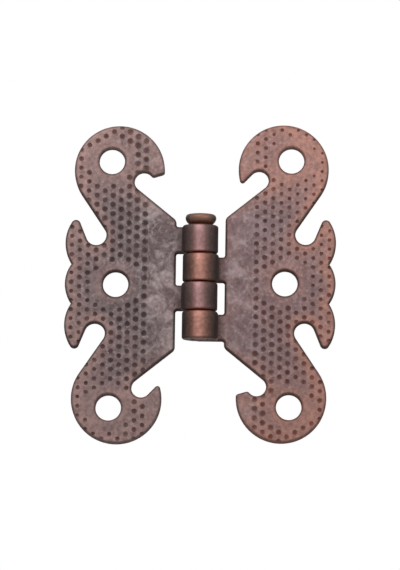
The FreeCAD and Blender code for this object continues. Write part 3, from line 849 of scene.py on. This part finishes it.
# Painted shade on the head's flanks up to a painted highlight on its front
HEAD_LIGHT_TONES = ((0.0, "#4a403b"), (0.55, "#5a4b44"), (0.8, "#785d51"), (0.93, "#846154"), (1.0, "#8a6556"))
CROWN_RANGE = (0.1, 0.45)    # shares of the head's height between which the crown's painted highlight and shade begin
TOP_START = 0.93             # and from which its flat top does
UNDER_TONE = "#8c5142"
TOP_TONE = "#8a6355"
DENT_SIZE = 1.2
DENT_DETAIL = 4.0
DENT_LEVELS = (0.85, 1.15)   # dents make the plate darker and lighter by these shares
DENT_DEPTH = 0.03
DENT_STRENGTH = 0.2
PIN_ROUGHNESS = 0.45

pin_low, pin_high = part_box("hinge_pin")
pin_radius = bore_radius - PIN_CLEARANCE
head_radius = pin_high.x / MM + HEAD_SPREAD
pin_bottom = pin_low.z / MM
pin_top = pin_high.z / MM + HEAD_SPREAD
head_under = pin_top - HEAD_HEIGHT
pin_profile = [(pin_radius - run, pin_bottom + rise) for run, rise in PIN_END]
pin_profile.append((pin_radius, head_under))
pin_profile += [(head_radius * share, head_under + HEAD_HEIGHT * rise) for share, rise in HEAD_PROFILE]

pin_bm = bmesh.new()
pin_rings = []
for radius, height in pin_profile:
    ring = []
    for side in range(PIN_SIDES):
        turn = 2 * math.pi * side / PIN_SIDES
        ring.append(pin_bm.verts.new((radius * math.cos(turn), radius * math.sin(turn), height)))
    pin_rings.append(ring)
join_rings(pin_bm, pin_rings)
for ring, height in ((pin_rings[0], pin_bottom), (pin_rings[-1], pin_top)):
    middle = pin_bm.verts.new((0, 0, height))
    for side in range(PIN_SIDES):
        pin_bm.faces.new([ring[side - 1], ring[side], middle])
bmesh.ops.recalc_face_normals(pin_bm, faces=pin_bm.faces[:])
bmesh.ops.scale(pin_bm, vec=(MM, MM, MM), verts=pin_bm.verts[:])
pin = made_object("hinge_pin_headed", pin_bm)
pin.data.shade_smooth()
pin.data.set_sharp_from_angle(angle=math.radians(SHARP_ANGLE))

# Copper plate rubbed by hand and hammer to a dull brown, with faint dents, and a painted highlight on the
# head's front with painted shade on its flanks
pin_finish = bpy.data.materials.new("brown_copper_plate_painted_sheen")
pin_finish.use_nodes = True
pin_tree = pin_finish.node_tree
pin_shader = pin_tree.nodes["Principled BSDF"]
place = add_node(pin_tree, "ShaderNodeTexCoord", out="Object")
height = add_node(pin_tree, "ShaderNodeSeparateXYZ", {0: place}, "Z")
dents = add_node(pin_tree, "ShaderNodeTexNoise", {
    "Vector": place, "Scale": per_mm(DENT_SIZE), "Detail": DENT_DETAIL}, "Fac")
# Painted highlight where the head faces forward and painted shade on its flanks
forward = add_node(pin_tree, "ShaderNodeVectorMath", {
    0: place, 1: (0, -1 / (head_radius * MM), 0)}, "Value", operation="DOT_PRODUCT")
tones = add_node(pin_tree, "ShaderNodeValToRGB", {0: forward}, out=None)
set_stops(tones.color_ramp, HEAD_LIGHT_TONES)
crown = add_node(pin_tree, "ShaderNodeMapRange", {
    0: height, 1: (head_under + CROWN_RANGE[0] * HEAD_HEIGHT) * MM,
    2: (head_under + CROWN_RANGE[1] * HEAD_HEIGHT) * MM}, interpolation_type="SMOOTHSTEP")
colour = add_node(pin_tree, "ShaderNodeMix", {
    0: crown, 6: linear(UNDER_TONE), 7: tones.outputs[0]}, 2, data_type="RGBA")
flat_top = add_node(pin_tree, "ShaderNodeMapRange", {
    0: height, 1: (head_under + TOP_START * HEAD_HEIGHT) * MM, 2: pin_top * MM})
colour = add_node(pin_tree, "ShaderNodeMix", {
    0: flat_top, 6: colour, 7: linear(TOP_TONE)}, 2, data_type="RGBA")
level = add_node(pin_tree, "ShaderNodeMapRange", {
    0: dents, 1: GRAIN_RANGE[0], 2: GRAIN_RANGE[1], 3: DENT_LEVELS[0], 4: DENT_LEVELS[1]})
colour = add_node(pin_tree, "ShaderNodeVectorMath", {0: colour, "Scale": level}, operation="SCALE")
bump = add_node(pin_tree, "ShaderNodeBump", {
    "Strength": DENT_STRENGTH, "Distance": DENT_DEPTH * MM, "Height": dents})
pin_tree.links.new(colour, pin_shader.inputs["Base Color"])
pin_tree.links.new(bump, pin_shader.inputs["Normal"])
pin_shader.inputs["Metallic"].default_value = METAL_SHARE
pin_shader.inputs["Roughness"].default_value = PIN_ROUGHNESS
pin.data.materials.append(pin_finish)
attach(pin, "left_half")
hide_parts("hinge_pin")

# Floor, light and camera
# A pale floor well below the hinge, a white room, two soft lamps in front, and a long lens.
# The camera looks up a little from below, as the photograph does.

FLOOR_Z = -0.2
FLOOR_HALF = 3.0
FLOOR_TONE = "#f2f2f0"
FLOOR_ROUGHNESS = 0.9
floor_bm = bmesh.new()
floor_corners = ((-FLOOR_HALF, -FLOOR_HALF), (FLOOR_HALF, -FLOOR_HALF), (FLOOR_HALF, FLOOR_HALF),
                 (-FLOOR_HALF, FLOOR_HALF))
floor_bm.faces.new([floor_bm.verts.new((x, y, FLOOR_Z)) for x, y in floor_corners])
floor = made_object("floor", floor_bm)
floor_paper = bpy.data.materials.new("white_paper_floor")
floor_paper.use_nodes = True
paper_shader = floor_paper.node_tree.nodes["Principled BSDF"]
paper_shader.inputs["Base Color"].default_value = linear(FLOOR_TONE)
paper_shader.inputs["Roughness"].default_value = FLOOR_ROUGHNESS
floor.data.materials.append(floor_paper)

ROOM_LEVEL = 0.45            # light of the white room on dull surfaces; camera and reflections see it at 1
room = bpy.data.worlds.new("white_room")
room.use_nodes = True
room_tree = room.node_tree
ray = add_node(room_tree, "ShaderNodeLightPath", out=None).outputs
seen = ray["Is Camera Ray"]
for other in (ray["Is Glossy Ray"], ray["Is Transmission Ray"]):
    seen = add_node(room_tree, "ShaderNodeMath", {0: seen, 1: other}, operation="MAXIMUM")
level = add_node(room_tree, "ShaderNodeMapRange", {0: seen, 3: ROOM_LEVEL, 4: 1.0})
backdrop = room_tree.nodes["Background"]
backdrop.inputs["Color"].default_value = (1.0, 1.0, 1.0, 1.0)
room_tree.links.new(level, backdrop.inputs["Strength"])
bpy.context.scene.world = room

for name, spot, size, power in (
    ("key_softbox", (-0.5, -1.1, 0.7), 0.7, 4.0),
    ("fill_softbox", (0.7, -1.0, 0.1), 0.6, 1.8),
):
    lamp = bpy.data.lights.new(name, "AREA")
    lamp.size = size
    lamp.energy = power
    holder = bpy.data.objects.new(name, lamp)
    holder.location = spot
    holder.rotation_mode = "QUATERNION"
    holder.rotation_quaternion = (-Vector(spot)).to_track_quat("-Z", "Y")
    bpy.context.scene.collection.objects.link(holder)

CAMERA_DISTANCE = 0.85
CAMERA_ELEVATION = -7.6      # degrees; from below
CAMERA_AZIMUTH = 0.77        # to the right of the middle
CAMERA_ROLL = 0.83
FRAME_HEIGHT = 0.10254       # of the picture, at the hinge
AIM_DROP = 0.00044           # the picture's middle lies this far below the hinge's
SENSOR = 36.0
turn, rise = math.radians(CAMERA_AZIMUTH), math.radians(CAMERA_ELEVATION)
towards = Vector((-math.sin(turn) * math.cos(rise), math.cos(turn) * math.cos(rise), -math.sin(rise)))
lens = bpy.data.cameras.new("camera")
lens.sensor_width = SENSOR
lens.lens = SENSOR * CAMERA_DISTANCE / FRAME_HEIGHT
camera = bpy.data.objects.new("camera", lens)
camera.location = Vector((0, 0, -AIM_DROP)) - towards * CAMERA_DISTANCE
camera.rotation_mode = "QUATERNION"
roll = Matrix.Rotation(math.radians(CAMERA_ROLL), 3, towards).to_quaternion()
camera.rotation_quaternion = roll.inverted() @ towards.to_track_quat("-Z", "Y")
bpy.context.scene.collection.objects.link(camera)
bpy.context.scene.camera = camera
bpy.context.scene.view_settings.view_transform = "Standard"
